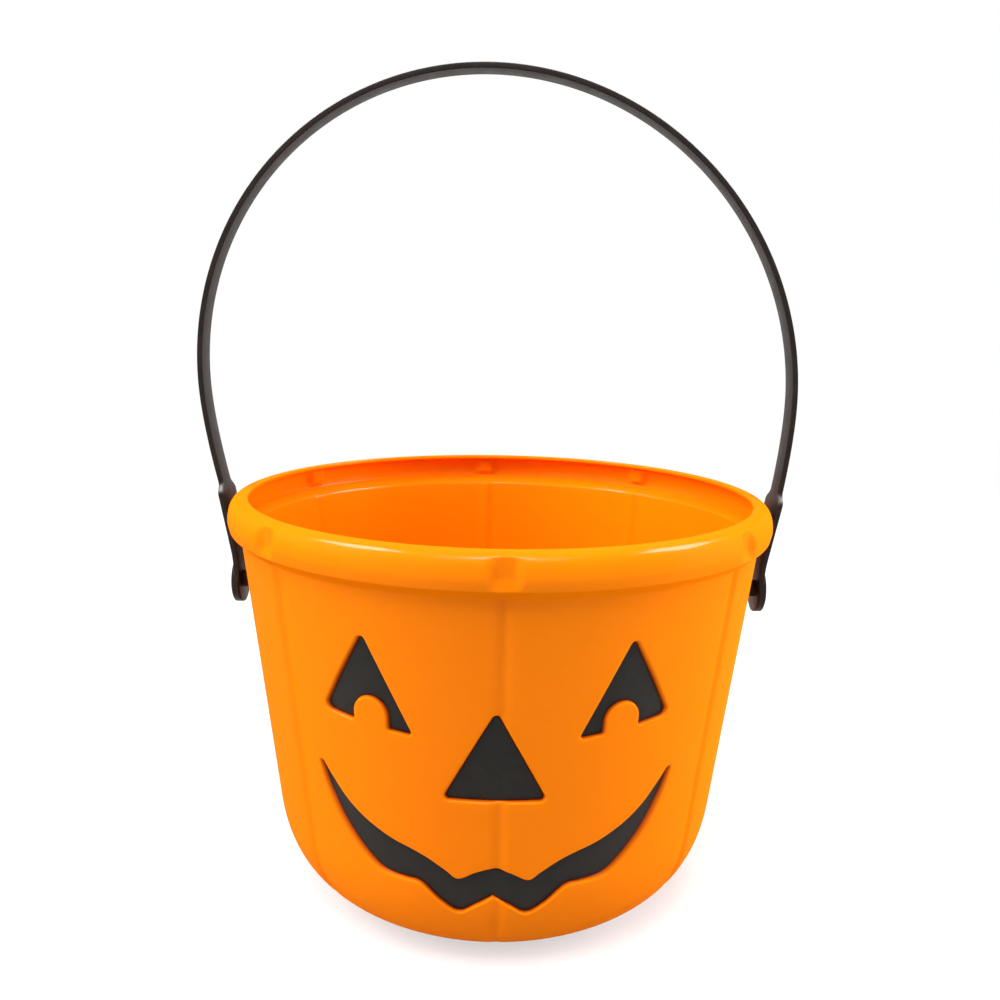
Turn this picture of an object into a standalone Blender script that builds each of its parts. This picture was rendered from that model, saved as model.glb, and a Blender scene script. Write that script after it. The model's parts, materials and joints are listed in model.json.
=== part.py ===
# Jack-o'-lantern trick-or-treat pail: a thin moulded bucket with a sunk face and a swinging strap.
# Metres, +Z up. The base stands on z = 0, the face looks along -Y and the pivots lie along X.
import math

import bmesh
import bpy
from mathutils import Matrix, Vector

# Bucket: a shell of even thickness turned about the Z axis
pail_height = 0.1476
wall_thickness = 0.0016
rim_outer_radius = 0.0997
lip_reach = 0.0072
rim_round = 0.0080
band_height = 0.0110
band_taper = 0.0007
step_height = 0.0032
step_width = 0.0038
wall_taper = 0.0118
corner_height = 0.0340
corner_reach = 0.0350

# A groove down the wall starts below a flat-floored notch in the rim band, at each azimuth;
# the azimuths are uneven, as on the object
groove_azimuths = (1.0, 53.0, 88.0, 140.0, 184.5, 236.0, 270.0, 312.5)
groove_half_angle = 2.2
groove_depth = 0.0009
groove_fade = 0.0200
notch_half_angle = 3.4
notch_floor_angle = 1.1
notch_depth = 0.0021
notch_end = 0.0080
notch_fade = 0.0028
plain_step = 6.0
rim_steps = 5
corner_steps = 7

# Sunk face, drawn flat as (distance round the wall, height) and then bent round the wall
face_features = ("left_eye", "right_eye", "nose", "mouth")
recess_depth = 0.0022
recess_draft = 0.0007
arc_steps = 4

# Eye: a leaning triangle with a round-headed tab, the pupil, standing up from its lower edge
eye_inner_corner = (0.0249, 0.0870)
eye_outer_corner = (0.0584, 0.0902)
eye_apex = (0.0406, 0.1198)
eye_inner_round = 0.0012
eye_outer_round = 0.0024
eye_apex_round = 0.0016
tab_centre = (0.0396, 0.0920)
tab_radius = 0.0057
tab_inner_foot = 0.0877
tab_outer_foot = 0.0888
tab_steps = 8

nose_half_width = 0.0173
nose_foot = 0.0666
nose_apex = 0.0983
nose_round = 0.0017

# Mouth: points that face each other on its two edges, from its middle to its corner
mouth_lower_edge = (
    (0.0, 0.0320), (0.0060, 0.0283), (0.0118, 0.0252), (0.0180, 0.0285), (0.0250, 0.0345),
    (0.0310, 0.0352), (0.0390, 0.0357), (0.0449, 0.0387), (0.0516, 0.0445), (0.0572, 0.0517),
    (0.0612, 0.0600), (0.0632, 0.0682),
)
mouth_upper_edge = (
    (0.0, 0.0429), (0.0056, 0.0414), (0.0118, 0.0386), (0.0160, 0.0412), (0.0220, 0.0449),
    (0.0280, 0.0474), (0.0340, 0.0493), (0.0400, 0.0519), (0.0462, 0.0553), (0.0520, 0.0597),
    (0.0572, 0.0653), (0.0612, 0.0700),
)
mouth_tip = 0.0012
mouth_steps = 2
mouth_corner_draft = 0.0034
mouth_draft_start = 0.45
mouth_draft_span = 0.40
draft_limit = 0.30

# The wall is thickened behind each feature, so that the recess doesn't break through
backing_margin = 0.0020
backing_thickness = 0.0014
backing_root = 0.0004
cutter_proud = 0.0030
bend_step = 0.0070
bend_rise = 0.0040

# Dark inlays lie on the recess floors
inlay_thickness = 0.0005
inlay_gap = 0.0003

# Strap handle: one moulding with shoulders, pivot discs and snap pins
pivot_drop = 0.0363
strap_width = 0.0095
strap_thickness = 0.0020
loop_clearance = 0.0091
loop_side_rise = 0.0394
loop_top_rise = 0.1504
loop_sway = -0.0067
shoulder_clearance = 0.0047
shoulder_rise = 0.0019
shoulder_length = 0.0042
paddle_width = 0.0168
paddle_clearance = 0.0063
disc_radius = 0.0089
disc_thickness = 0.0028
disc_stand = 0.0010
disc_edge = 0.0006
hub_radius = 0.0032
pin_radius = 0.0023
pin_play = 0.0003
head_radius = 0.0036
head_length = 0.0022
head_end_radius = 0.0019
head_taper = 0.0009
running_gap = 0.0004
loop_steps = 22
side_steps = 8
shoulder_steps = 4
paddle_steps = 4
pivot_segments = 28
hole_segments = 24

lip_inner_radius = rim_outer_radius - lip_reach
lip_outer_radius = lip_inner_radius + wall_thickness
band_foot_radius = rim_outer_radius - band_taper
wall_top_radius = band_foot_radius - step_width
wall_low_radius = wall_top_radius - wall_taper
wall_top_height = pail_height - band_height - step_height
wall_slope = wall_taper / (wall_top_height - corner_height)
corner_foot_radius = wall_low_radius - wall_slope * corner_height
base_radius = corner_foot_radius - corner_reach
face_radius = (wall_top_radius + wall_low_radius) / 2
pivot_height = pail_height - pivot_drop
pivot_wall_radius = wall_low_radius + wall_slope * (pivot_height - corner_height)
loop_half_width = rim_outer_radius + loop_clearance
shoulder_half_width = rim_outer_radius + shoulder_clearance
paddle_foot_half_width = pivot_wall_radius + paddle_clearance


def clear_scene():
    for thing in list(bpy.data.objects):
        bpy.data.objects.remove(thing, do_unlink=True)


def plastic(name, colour, roughness):
    material = bpy.data.materials.new(name)
    material.use_nodes = True
    shader = material.node_tree.nodes["Principled BSDF"]
    shader.inputs["Base Color"].default_value = (*colour, 1.0)
    shader.inputs["Roughness"].default_value = roughness
    shader.inputs["Metallic"].default_value = 0.0
    return material


def add_object(name, mesh, material, parent=None):
    thing = bpy.data.objects.new(name, mesh)
    bpy.context.scene.collection.objects.link(thing)
    thing.data.materials.append(material)
    if parent:
        thing.parent = parent
    return thing


def mesh_from(bm, name, smooth_angle=35.0):
    bmesh.ops.recalc_face_normals(bm, faces=bm.faces)
    mesh = bpy.data.meshes.new(name)
    bm.to_mesh(mesh)
    bm.free()
    mesh.shade_smooth()
    mesh.set_sharp_from_angle(angle=math.radians(smooth_angle))
    return mesh


def add_guide(name, mesh):
    guide = bpy.data.objects.new(name, mesh)
    bpy.context.scene.collection.objects.link(guide)
    guide.hide_render = True
    guide.display_type = "WIRE"
    return guide


def add_boolean(thing, guide, operation):
    modifier = thing.modifiers.new(guide.name, "BOOLEAN")
    modifier.operation = operation
    modifier.object = guide


def smoothstep(value):
    value = min(max(value, 0.0), 1.0)
    return value * value * (3.0 - 2.0 * value)


def quadratic(start, control, end, steps):
    points = []
    for step in range(steps + 1):
        t = step / steps
        points.append(start * (1 - t) ** 2 + control * 2 * t * (1 - t) + end * t * t)
    return points


def smooth_through(points, steps):
    # A Catmull-Rom curve through the points, without its last point
    ends = [points[0] * 2 - points[1], *points, points[-1] * 2 - points[-2]]
    curve = []
    for before, start, end, after in zip(ends, ends[1:], ends[2:], ends[3:]):
        for step in range(steps):
            t = step / steps
            curve.append(
                start
                + (end - before) * (t / 2)
                + (before * 2 - start * 5 + end * 4 - after) * (t * t / 2)
                + (start * 3 - end * 3 + after - before) * (t ** 3 / 2)
            )
    return curve


def offset_line(points, distance):
    # Moves an open line to its left by the distance, mitred at each corner
    moved = []
    for index, point in enumerate(points):
        before = point - points[index - 1] if index else points[1] - points[0]
        after = points[index + 1] - point if index + 1 < len(points) else before
        left = Vector((-before.y, before.x)).normalized() + Vector((-after.y, after.x)).normalized()
        left.normalize()
        square = Vector((-before.y, before.x)).normalized()
        moved.append(point + left * (distance / left.dot(square)))
    return moved


def outer_section():
    # From the free edge of the lip, over the rim and down the wall to the edge of the flat base
    top = pail_height
    round_start = Vector((lip_outer_radius, top))
    round_end = Vector((rim_outer_radius, top - rim_round))
    band_foot = Vector((band_foot_radius, top - band_height))
    wall_top = Vector((wall_top_radius, wall_top_height))
    wall_low = Vector((wall_low_radius, corner_height))
    section = [Vector((lip_inner_radius, top))]
    section += quadratic(round_start, Vector((rim_outer_radius, top)), round_end, rim_steps)
    section += [band_foot, wall_top]
    section += quadratic(
        wall_low, Vector((corner_foot_radius, 0.0)), Vector((base_radius, 0.0)), corner_steps
    )
    return section


def notch_at(below_top):
    # How far the notch's upright floor lies behind the rim's rounding, at a depth below the top
    share = math.sqrt(min(max(below_top / rim_round, 0.0), 1.0))
    rounding = (rim_outer_radius - lip_outer_radius) * (1.0 - share) ** 2
    fade = 1.0 - smoothstep((below_top - notch_end) / notch_fade)
    return max(notch_depth - rounding, 0.0) * fade


def groove_at(azimuth, height):
    # How far both surfaces of the shell move inwards, in metres
    nearest = min(abs((azimuth - centre + 180.0) % 360.0 - 180.0) for centre in groove_azimuths)
    below_top = pail_height - height
    notch = smoothstep((notch_half_angle - nearest) / (notch_half_angle - notch_floor_angle))
    groove = math.cos(math.pi / 2 * min(nearest / groove_half_angle, 1.0)) ** 2
    groove *= smoothstep((below_top - band_height) / step_height) * smoothstep(height / groove_fade)
    return notch_at(below_top) * notch + groove_depth * groove


def column_azimuths():
    centres = sorted(groove_azimuths)
    bends = (notch_floor_angle, groove_half_angle, notch_half_angle)
    azimuths = []
    for index, centre in enumerate(centres):
        azimuths += [centre - bend for bend in bends[::-1]]
        azimuths += [centre]
        azimuths += [centre + bend for bend in bends]
        start = centre + notch_half_angle
        end = centres[(index + 1) % len(centres)] - notch_half_angle
        if index + 1 == len(centres):
            end += 360.0
        count = max(1, round((end - start) / plain_step))
        azimuths += [start + (end - start) * part / count for part in range(1, count)]
    return azimuths


def around(radius, azimuth, height):
    # Azimuth 0 is the front, and it grows towards +X
    angle = math.radians(azimuth)
    return Vector((radius * math.sin(angle), -radius * math.cos(angle), height))


def bucket_shell():
    # The inner surface takes its grooves from the outer point that it faces, so they show inside
    outer = outer_section()
    inner = offset_line(outer, -wall_thickness)
    section = [(point, point.y) for point in outer[::-1]]
    section += [(point, facing.y) for point, facing in zip(inner, outer)]
    bm = bmesh.new()
    columns = []
    for azimuth in column_azimuths():
        column = []
        for point, groove_height in section:
            radius = point.x - groove_at(azimuth, groove_height)
            column.append(bm.verts.new(around(radius, azimuth, point.y)))
        columns.append(column)
    for index, column in enumerate(columns):
        following = columns[(index + 1) % len(columns)]
        for row in range(len(section) - 1):
            bm.faces.new((column[row], following[row], following[row + 1], column[row + 1]))
    bm.faces.new([column[0] for column in columns])
    bm.faces.new([column[-1] for column in columns])
    return mesh_from(bm, "bucket")


def wall_radius(height):
    if height >= corner_height:
        return wall_low_radius + wall_slope * (height - corner_height)
    t = 1.0 - math.sqrt(max(height, 0.0) / corner_height)
    return (
        wall_low_radius * (1 - t) ** 2
        + corner_foot_radius * 2 * t * (1 - t)
        + base_radius * t * t
    )


def rounded(corners):
    # Each corner is (across, height, radius) and becomes an arc of that radius
    outline = []
    for index, (across, height, radius) in enumerate(corners):
        point = Vector((across, height))
        before = (Vector(corners[index - 1][:2]) - point).normalized()
        after = (Vector(corners[(index + 1) % len(corners)][:2]) - point).normalized()
        if radius == 0.0:
            outline.append(point)
            continue
        half = before.angle(after) / 2
        reach = radius / math.tan(half)
        centre = point + (before + after).normalized() * (radius / math.sin(half))
        start = point + before * reach - centre
        end = point + after * reach - centre
        turn = start.angle_signed(end)
        for step in range(arc_steps + 1):
            outline.append(centre + Matrix.Rotation(-turn * step / arc_steps, 2) @ start)
    return outline


def offset_outline(outline, distance):
    # Moves a closed outline outwards, mitred at each corner
    area = sum(a.x * b.y - b.x * a.y for a, b in zip(outline, outline[1:] + outline[:1]))
    side = 1.0 if area > 0 else -1.0
    moved = []
    for index, point in enumerate(outline):
        before = (point - outline[index - 1]).normalized()
        after = (outline[(index + 1) % len(outline)] - point).normalized()
        square = Vector((before.y, -before.x)) * side
        out = (square + Vector((after.y, -after.x)) * side).normalized()
        moved.append(point + out * (distance / out.dot(square)))
    return moved


def eye_outline(side):
    tab = []
    for step in range(tab_steps + 1):
        angle = math.pi * (1.0 - step / tab_steps)
        tab.append(Vector(tab_centre) + Vector((math.cos(angle), math.sin(angle))) * tab_radius)
    corners = [(*eye_inner_corner, eye_inner_round), (tab[0].x, tab_inner_foot, eye_inner_round)]
    corners += [(point.x, point.y, 0.0) for point in tab]
    corners += [(tab[-1].x, tab_outer_foot, eye_inner_round)]
    corners += [(*eye_outer_corner, eye_outer_round), (*eye_apex, eye_apex_round)]
    return [Vector((point.x * side, point.y)) for point in rounded(corners)]


def nose_outline():
    left_foot = (-nose_half_width, nose_foot, nose_round)
    right_foot = (nose_half_width, nose_foot, nose_round)
    return rounded([left_foot, right_foot, (0.0, nose_apex, nose_round)])


def mouth_pairs():
    # Points from the middle of the mouth to its corner, as (lower edge, upper edge)
    edges = []
    for points in (mouth_lower_edge, mouth_upper_edge):
        points = [Vector(point) for point in points]
        edges.append(smooth_through(points, mouth_steps) + [points[-1]])
    return list(zip(*edges))


def mouth_outline(slope, extra):
    # The lower edge slopes in more and more towards the corners of the mouth
    pairs = mouth_pairs()
    reach = pairs[-1][0].x
    right_lower = []
    right_upper = []
    for lower, upper in pairs:
        share = smoothstep((lower.x / reach - mouth_draft_start) / mouth_draft_span)
        draft = recess_draft + (mouth_corner_draft - recess_draft) * share
        width = (upper - lower).length
        up = (upper - lower) / width
        limit = width * draft_limit
        right_lower.append(lower + up * (min(draft, limit) * slope + min(extra, limit / 2)))
        right_upper.append(upper - up * (min(recess_draft, limit) * slope + min(extra, limit / 2)))
    inwards = (right_lower[-2] - right_lower[-1]).normalized()
    tip = (right_lower[-1] + right_upper[-1]) / 2 - inwards * mouth_tip
    for edge in (right_lower, right_upper):
        edge[-1] = edge[-1] + inwards * (recess_draft * slope + extra)
    tip += inwards * (recess_draft * slope + extra)
    right = right_lower + [tip] + right_upper[::-1]
    left = [Vector((-point.x, point.y)) for point in right[-2:0:-1]]
    return right + left


def feature_outline(name, slope, extra=0.0):
    # The outline of a face feature. A slope of 0 is its opening in the wall, 1 is its floor and
    # below 0 is proud of the wall; extra is a further distance inwards
    if name == "mouth":
        return mouth_outline(slope, extra)
    if name == "nose":
        outline = nose_outline()
    else:
        outline = eye_outline(1.0 if name == "right_eye" else -1.0)
    return offset_outline(outline, -recess_draft * slope - extra)


def slice_mesh(bm, axis, spacing):
    # Cuts the closed mesh at even steps, and across the height only where the wall is not straight
    low = min(vertex.co[axis] for vertex in bm.verts)
    high = max(vertex.co[axis] for vertex in bm.verts)
    normal = Vector((0.0, 0.0, 0.0))
    normal[axis] = 1.0
    for index in range(math.ceil(low / spacing), math.floor(high / spacing) + 1):
        level = index * spacing
        if axis == 2 and level > corner_height + spacing:
            break
        geometry = [*bm.verts, *bm.edges, *bm.faces]
        bmesh.ops.bisect_plane(bm, geom=geometry, dist=1e-6, plane_co=normal * level, plane_no=normal)


def bent_solid(name, outline, inner_outline, depth, inner_depth):
    # A plate between two like outlines, bent round the wall; depths are measured inwards from it
    bm = bmesh.new()
    rings = []
    for points, level in ((outline, depth), (inner_outline, inner_depth)):
        rings.append([bm.verts.new((point.x, level, point.y)) for point in points])
    caps = [bm.faces.new(rings[0]), bm.faces.new(rings[1])]
    for index in range(len(outline)):
        following = (index + 1) % len(outline)
        corners = (rings[0][index], rings[0][following], rings[1][following], rings[1][index])
        bm.faces.new(corners)
    bmesh.ops.recalc_face_normals(bm, faces=bm.faces)
    bmesh.ops.triangulate(bm, faces=caps, quad_method="BEAUTY", ngon_method="BEAUTY")
    slice_mesh(bm, 0, bend_step)
    slice_mesh(bm, 2, bend_rise)
    for vertex in bm.verts:
        across, level, height = vertex.co
        azimuth = math.degrees(across / face_radius)
        vertex.co = around(wall_radius(height) - level, azimuth, height)
    bmesh.ops.triangulate(bm, faces=bm.faces)
    return mesh_from(bm, name)


def add_bucket(material):
    bucket = add_object("bucket", bucket_shell(), material)
    for name in face_features:
        wide = feature_outline(name, 0.0, -backing_margin)
        root = wall_thickness - backing_root
        back = recess_depth + backing_thickness
        pad = add_guide(name + "_backing", bent_solid(name + "_backing", wide, wide, root, back))
        add_boolean(bucket, pad, "UNION")
    for name in face_features:
        opening = feature_outline(name, -cutter_proud / recess_depth)
        floor = feature_outline(name, 1.0)
        cutter = bent_solid(name + "_recess", opening, floor, -cutter_proud, recess_depth)
        add_boolean(bucket, add_guide(name + "_recess", cutter), "DIFFERENCE")
    hole = bmesh.new()
    bmesh.ops.create_cone(
        hole, cap_ends=True, segments=hole_segments, depth=pivot_wall_radius * 2 + wall_thickness,
        radius1=pin_radius + pin_play, radius2=pin_radius + pin_play,
        matrix=Matrix.Translation((0.0, 0.0, pivot_height)) @ Matrix.Rotation(math.pi / 2, 4, "Y"),
    )
    add_boolean(bucket, add_guide("pin_holes", mesh_from(hole, "pin_holes")), "DIFFERENCE")
    return bucket


def add_inlays(material):
    top = recess_depth - inlay_gap - inlay_thickness
    bottom = recess_depth - inlay_gap
    for name in face_features:
        edge = feature_outline(name, 1.0, inlay_gap)
        add_object(name, bent_solid(name, edge, edge, top, bottom), material)


def strap_line():
    # Middle of the strap from the top of the loop down the +X side to the pivot, as (x, rise)
    side = Vector((loop_half_width, pivot_drop + loop_side_rise))
    top_rise = pivot_drop + loop_top_rise - strap_thickness / 2
    shoulder = Vector((shoulder_half_width, pivot_drop + shoulder_rise))
    bend = Vector((paddle_foot_half_width, disc_radius))
    paddle_top = shoulder.lerp(bend, shoulder_length / (shoulder.y - bend.y))
    line = []
    for step in range(loop_steps + 1):
        angle = math.pi / 2 * (1.0 - step / loop_steps)
        rise = side.y + (top_rise - side.y) * math.sin(angle)
        line.append(Vector((side.x * math.cos(angle), rise)))
    lean = (shoulder - bend).normalized()
    control = shoulder + lean * ((side.x - shoulder.x) / lean.x)
    line += quadratic(side, control, shoulder, side_steps)[1:]
    for start, end, steps in (
        (shoulder, paddle_top, shoulder_steps), (paddle_top, bend, paddle_steps)
    ):
        line += [start.lerp(end, step / steps) for step in range(1, steps + 1)]
    line += [Vector((bend.x, disc_radius * share)) for share in (0.0, -0.4, -0.75, -0.95)]
    return line


def strap_half_width(rise):
    narrow = strap_width / 2
    wide = paddle_width / 2
    if rise < 0.0:
        return wide * math.sqrt(max(1.0 - (rise / disc_radius) ** 2, 0.0))
    above = rise - (pivot_drop + shoulder_rise - shoulder_length)
    return wide + (narrow - wide) * smoothstep(above / shoulder_length)


def strap_mesh():
    right = strap_line()
    left = [Vector((-point.x, point.y)) for point in right[:0:-1]]
    line = left + right
    top_rise = pivot_drop + loop_top_rise
    placed = []
    for point in line:
        share = max(point.y - pivot_drop, 0.0) / (top_rise - pivot_drop)
        placed.append(Vector((point.x + loop_sway * share, point.y)))
    bm = bmesh.new()
    rings = []
    for index, point in enumerate(placed):
        before = placed[max(index - 1, 0)]
        after = placed[min(index + 1, len(placed) - 1)]
        along = (after - before).normalized()
        across = Vector((-along.y, along.x)) * (strap_thickness / 2)
        half = strap_half_width(line[index].y)
        ring = []
        for side, edge in ((1, -1), (1, 1), (-1, 1), (-1, -1)):
            at = point + across * side
            ring.append(bm.verts.new((at.x, half * edge, at.y)))
        rings.append(ring)
    for ring, following in zip(rings, rings[1:]):
        for index in range(4):
            second = (index + 1) % 4
            bm.faces.new((ring[index], ring[second], following[second], following[index]))
    bm.faces.new(rings[0])
    bm.faces.new(rings[-1])
    return mesh_from(bm, "handle")


def pivot_section():
    # Distance from the middle of the pail and radius about the pin, from the head to the disc
    hub_face = wall_radius(pivot_height + hub_radius) + running_gap
    ridge = wall_radius(pivot_height - head_radius) - wall_thickness - groove_depth
    head_face = ridge - running_gap
    head_end = head_face - head_length
    disc_end = paddle_foot_half_width + strap_thickness / 2 + disc_stand
    disc_face = disc_end - disc_thickness
    return (
        (head_end, head_end_radius),
        (head_face - head_taper, head_radius),
        (head_face, head_radius),
        (head_face, pin_radius),
        (hub_face, pin_radius),
        (hub_face, hub_radius),
        (disc_face, hub_radius),
        (disc_face, disc_radius),
        (disc_end - disc_edge, disc_radius),
        (disc_end, disc_radius - disc_edge),
    )


def pivot_mesh(side):
    bm = bmesh.new()
    rings = []
    for distance, radius in pivot_section():
        ring = []
        for segment in range(pivot_segments):
            angle = 2 * math.pi * segment / pivot_segments
            at = (distance * side, radius * math.cos(angle), radius * math.sin(angle))
            ring.append(bm.verts.new(at))
        rings.append(ring)
    for ring, following in zip(rings, rings[1:]):
        for index in range(pivot_segments):
            second = (index + 1) % pivot_segments
            bm.faces.new((ring[index], ring[second], following[second], following[index]))
    bm.faces.new(rings[0])
    bm.faces.new(rings[-1])
    return mesh_from(bm, "pivot")


def add_handle(material):
    axis = bpy.data.objects.new("handle_axis", None)
    axis.location = (0.0, 0.0, pivot_height)
    bpy.context.scene.collection.objects.link(axis)
    handle = add_object("handle", strap_mesh(), material, axis)
    for name, side in (("right_pivot", 1.0), ("left_pivot", -1.0)):
        pivot = add_guide(name, pivot_mesh(side))
        pivot.parent = axis
        add_boolean(handle, pivot, "UNION")
    return handle


def build():
    clear_scene()
    orange = plastic("orange_plastic", (0.870, 0.205, 0.004), 0.30)
    black = plastic("black_plastic", (0.022, 0.020, 0.018), 0.45)
    dark = plastic("dark_inlay", (0.032, 0.028, 0.024), 0.55)
    add_bucket(orange)
    add_inlays(dark)
    add_handle(black)


build()
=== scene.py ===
# A jack-o'-lantern treat pail: a glossy moulded bucket, a dark sunk face and a thin strap handle.
# Metres, +Z up. The base stands on z = 0, the face looks along -Y and the pivots lie along X.
import json
import math

import bmesh
import bpy
from mathutils import Matrix, Vector
from mathutils.geometry import delaunay_2d_cdt, intersect_point_line


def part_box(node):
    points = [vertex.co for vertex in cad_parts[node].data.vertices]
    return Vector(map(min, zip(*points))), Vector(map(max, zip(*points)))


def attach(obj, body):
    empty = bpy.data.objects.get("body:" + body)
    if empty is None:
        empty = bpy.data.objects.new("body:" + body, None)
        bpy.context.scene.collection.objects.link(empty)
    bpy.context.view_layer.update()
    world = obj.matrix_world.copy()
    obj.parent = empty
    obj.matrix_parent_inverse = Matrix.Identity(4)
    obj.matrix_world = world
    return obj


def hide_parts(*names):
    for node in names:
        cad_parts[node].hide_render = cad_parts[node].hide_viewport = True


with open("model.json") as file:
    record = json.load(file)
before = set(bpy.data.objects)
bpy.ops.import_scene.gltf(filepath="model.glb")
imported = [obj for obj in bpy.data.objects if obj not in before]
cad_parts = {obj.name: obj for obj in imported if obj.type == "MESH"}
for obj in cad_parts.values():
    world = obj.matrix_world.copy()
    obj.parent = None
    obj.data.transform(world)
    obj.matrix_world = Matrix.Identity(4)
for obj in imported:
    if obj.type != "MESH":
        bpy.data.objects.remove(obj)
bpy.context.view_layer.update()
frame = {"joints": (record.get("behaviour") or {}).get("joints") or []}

# Sizes that the frame gives
bucket_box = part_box("bucket")
handle_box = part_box("handle")
pail_height = bucket_box[1].z
rim_outer_radius = bucket_box[1].y
pivot_height = frame["joints"][0]["pos_m"][2]
loop_top = handle_box[1].z

# Bucket wall
wall_thickness = 0.0016
lip_inner_radius = rim_outer_radius - 0.0072
lip_outer_radius = lip_inner_radius + wall_thickness
rim_round = 0.0080
band_height = 0.0110
band_foot_radius = rim_outer_radius - 0.0007
step_height = 0.0032
wall_top_radius = band_foot_radius - 0.0038
wall_low_radius = wall_top_radius - 0.0118
wall_top_height = pail_height - band_height - step_height
corner_height = 0.0340
corner_reach = 0.0350
wall_slope = (wall_top_radius - wall_low_radius) / (wall_top_height - corner_height)
corner_foot_radius = wall_low_radius - wall_slope * corner_height
base_radius = corner_foot_radius - corner_reach
face_radius = (wall_top_radius + wall_low_radius) / 2
pivot_wall_radius = wall_low_radius + wall_slope * (pivot_height - corner_height)

# Rounding of the bucket's edges
lip_edge_round = 0.0005
band_foot_round = 0.0011
step_round = 0.0016

# Fineness of the bucket's mesh. The base is made of rings at these shares of its radius
fillet_steps = 5
rim_steps = 16
wall_steps = 44
corner_steps = 26
base_rings = (0.8, 0.6, 0.4, 0.2)
groove_columns = 18
plain_step = 2.0

# Grooves down the wall, each below a flat-floored notch in the rim band, by azimuth in degrees from
# the front towards +X
groove_azimuths = (1.0, 53.0, 88.0, 140.0, 184.5, 236.0, 270.0, 312.5)
groove_half_angle = 2.2
groove_depth = 0.0009
groove_fade = 0.0200
notch_half_angle = 3.4
notch_floor_angle = 1.1
notch_depth = 0.0021
notch_end = 0.0080
notch_fade = 0.0028

# Sunk face, drawn flat as (distance round the wall, height)
recess_depth = 0.0022
recess_draft = 0.0007
recess_top_round = 0.0008
recess_floor_round = 0.0003
mouth_corner_draft = 0.0034
mouth_corner_round = 0.0030
pad_margin = 0.0023
pad_height = 0.0020
pad_draft = 0.0003
pad_round = 0.0006
ample_room = 1.0

# Fineness of the face's mesh, and the patch of the wall that is let in to hold the face. Each
# feature has plain rings around it, at these distances from where its edge starts to round
outline_spacing = 0.0007
outline_round_steps = 8
profile_steps = 6
recess_plain_rings = (0.0022, 0.0009)
pad_plain_rings = (0.0008,)
floor_spacing = 0.0024
floor_clearance = 0.0012
patch_half_width = 0.0720
patch_low = 0.0200
patch_high = 0.1240
patch_clearance = 0.0010
patch_box_margin = 0.0015
merge_distance = 1e-7
sliver_size = 1e-9

# Dark inlays on the recess floors
inlay_gap = 0.0003
inlay_thickness = 0.0005
inlay_round = 0.0002
inlay_round_steps = 4
inlay_clearance = 0.00015
inlay_spacing = 0.0022
inlay_edge_clearance = 0.0010

# Strap handle
strap_width = 0.0095
strap_thickness = 0.0020
strap_edge_round = 0.00035
loop_half_width = rim_outer_radius + 0.0091
loop_side_height = pail_height + 0.0394
loop_sway = -0.0067
shoulder_half_width = rim_outer_radius + 0.0047
shoulder_height = pail_height + 0.0019
shoulder_length = 0.0042
paddle_width = 0.0168
paddle_foot_half_width = pivot_wall_radius + 0.0063
paddle_bend_reach = 0.0040
disc_radius = 0.0089
disc_thickness = 0.0028
disc_stand = 0.0010
disc_edge = 0.0006
disc_back_edge = 0.0003
hub_radius = 0.0032
pin_radius = 0.0023
pin_play = 0.0003
head_radius = 0.0036
head_length = 0.0022
head_tip_radius = 0.0016
head_edge = 0.0003
small_edge = 0.0002
running_gap = 0.0004

# Fineness of the handle's mesh, from the top of the loop down to the disc, and of the pin holes
loop_steps = 200
side_steps = 26
paddle_steps = 36
bend_steps = 8
foot_steps = 5
end_steps = 12
strap_edge_steps = 4
disc_edge_steps = 6
pivot_segments = 72
hole_segments = 32
hole_overshoot = 0.0100

# Angles in degrees above which an edge is drawn sharp
sharp_angle = 40.0
handle_sharp_angle = 35.0

# Colours and gloss. The painted shade darkens the recess walls over these shares of the way down into
# a recess, and the coat with its high index gives the orange small bright lights without a pale haze
orange_base = (0.87, 0.196, 0.001)
orange_low = (0.86, 0.187, 0.001)
orange_high = (0.88, 0.206, 0.001)
# Painted shade: a dark red that stands in for the shade deep in the face's recesses
recess_shade_colour = (0.30, 0.022, 0.002)
recess_shade_start = 0.12
recess_shade_full = 0.68
coat_weight = 0.02
coat_index = 2.5
coat_roughness = 0.12
dark_specular = 0.12
black_base = (0.014, 0.010, 0.008)
black_low = (0.011, 0.008, 0.006)
black_high = (0.017, 0.012, 0.010)
inlay_base = (0.012, 0.011, 0.009)
inlay_low = (0.009, 0.010, 0.008)
inlay_high = (0.016, 0.012, 0.010)

# Light and floor
ambient_strength = 0.10
key_power = 20.5
front_power = 3.5
left_power = 22.5
left_front_power = 5.0
right_power = 34.0
top_power = 8.0
back_power = 6.0
sparkle_power = 34.0
side_sparkle_power = 80.0
floor_radius = 1.2
floor_fade_start = 0.3
floor_segments = 48
floor_colour = 0.42
floor_lift = 0.55

# Camera, as the ellipses of the rim and the outline of the wall in the photograph give it, with
# its angles in radians
photo_pixels = 1000.0
focal_pixels = 939.9
sensor_width = 36.0
camera_place = Vector((-0.0002, -0.3500, 0.2108))
camera_pitch = 0.1890
camera_roll = 0.0201


def smoothstep(value):
    value = min(max(value, 0.0), 1.0)
    return value * value * (3.0 - 2.0 * value)


def blend_values(start, end, share):
    return start + (end - start) * share


def quadratic(start, control, end, steps):
    points = []
    for step in range(steps + 1):
        t = step / steps
        points.append(start * (1 - t) ** 2 + control * 2 * t * (1 - t) + end * t * t)
    return points


def smooth_through(points, steps, level_start=False):
    # A Catmull-Rom curve through the points, which may start level, as if mirrored there
    lead = points[0] * 2 - points[1]
    if level_start:
        lead = Vector((-points[1].x, points[1].y))
    ends = [lead, *points, points[-1] * 2 - points[-2]]
    curve = []
    for before, start, end, after in zip(ends, ends[1:], ends[2:], ends[3:]):
        for step in range(steps):
            t = step / steps
            curve.append(
                start
                + (end - before) * (t / 2)
                + (before * 2 - start * 5 + end * 4 - after) * (t * t / 2)
                + (start * 3 - end * 3 + after - before) * (t ** 3 / 2)
            )
    return curve + [points[-1]]


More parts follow.
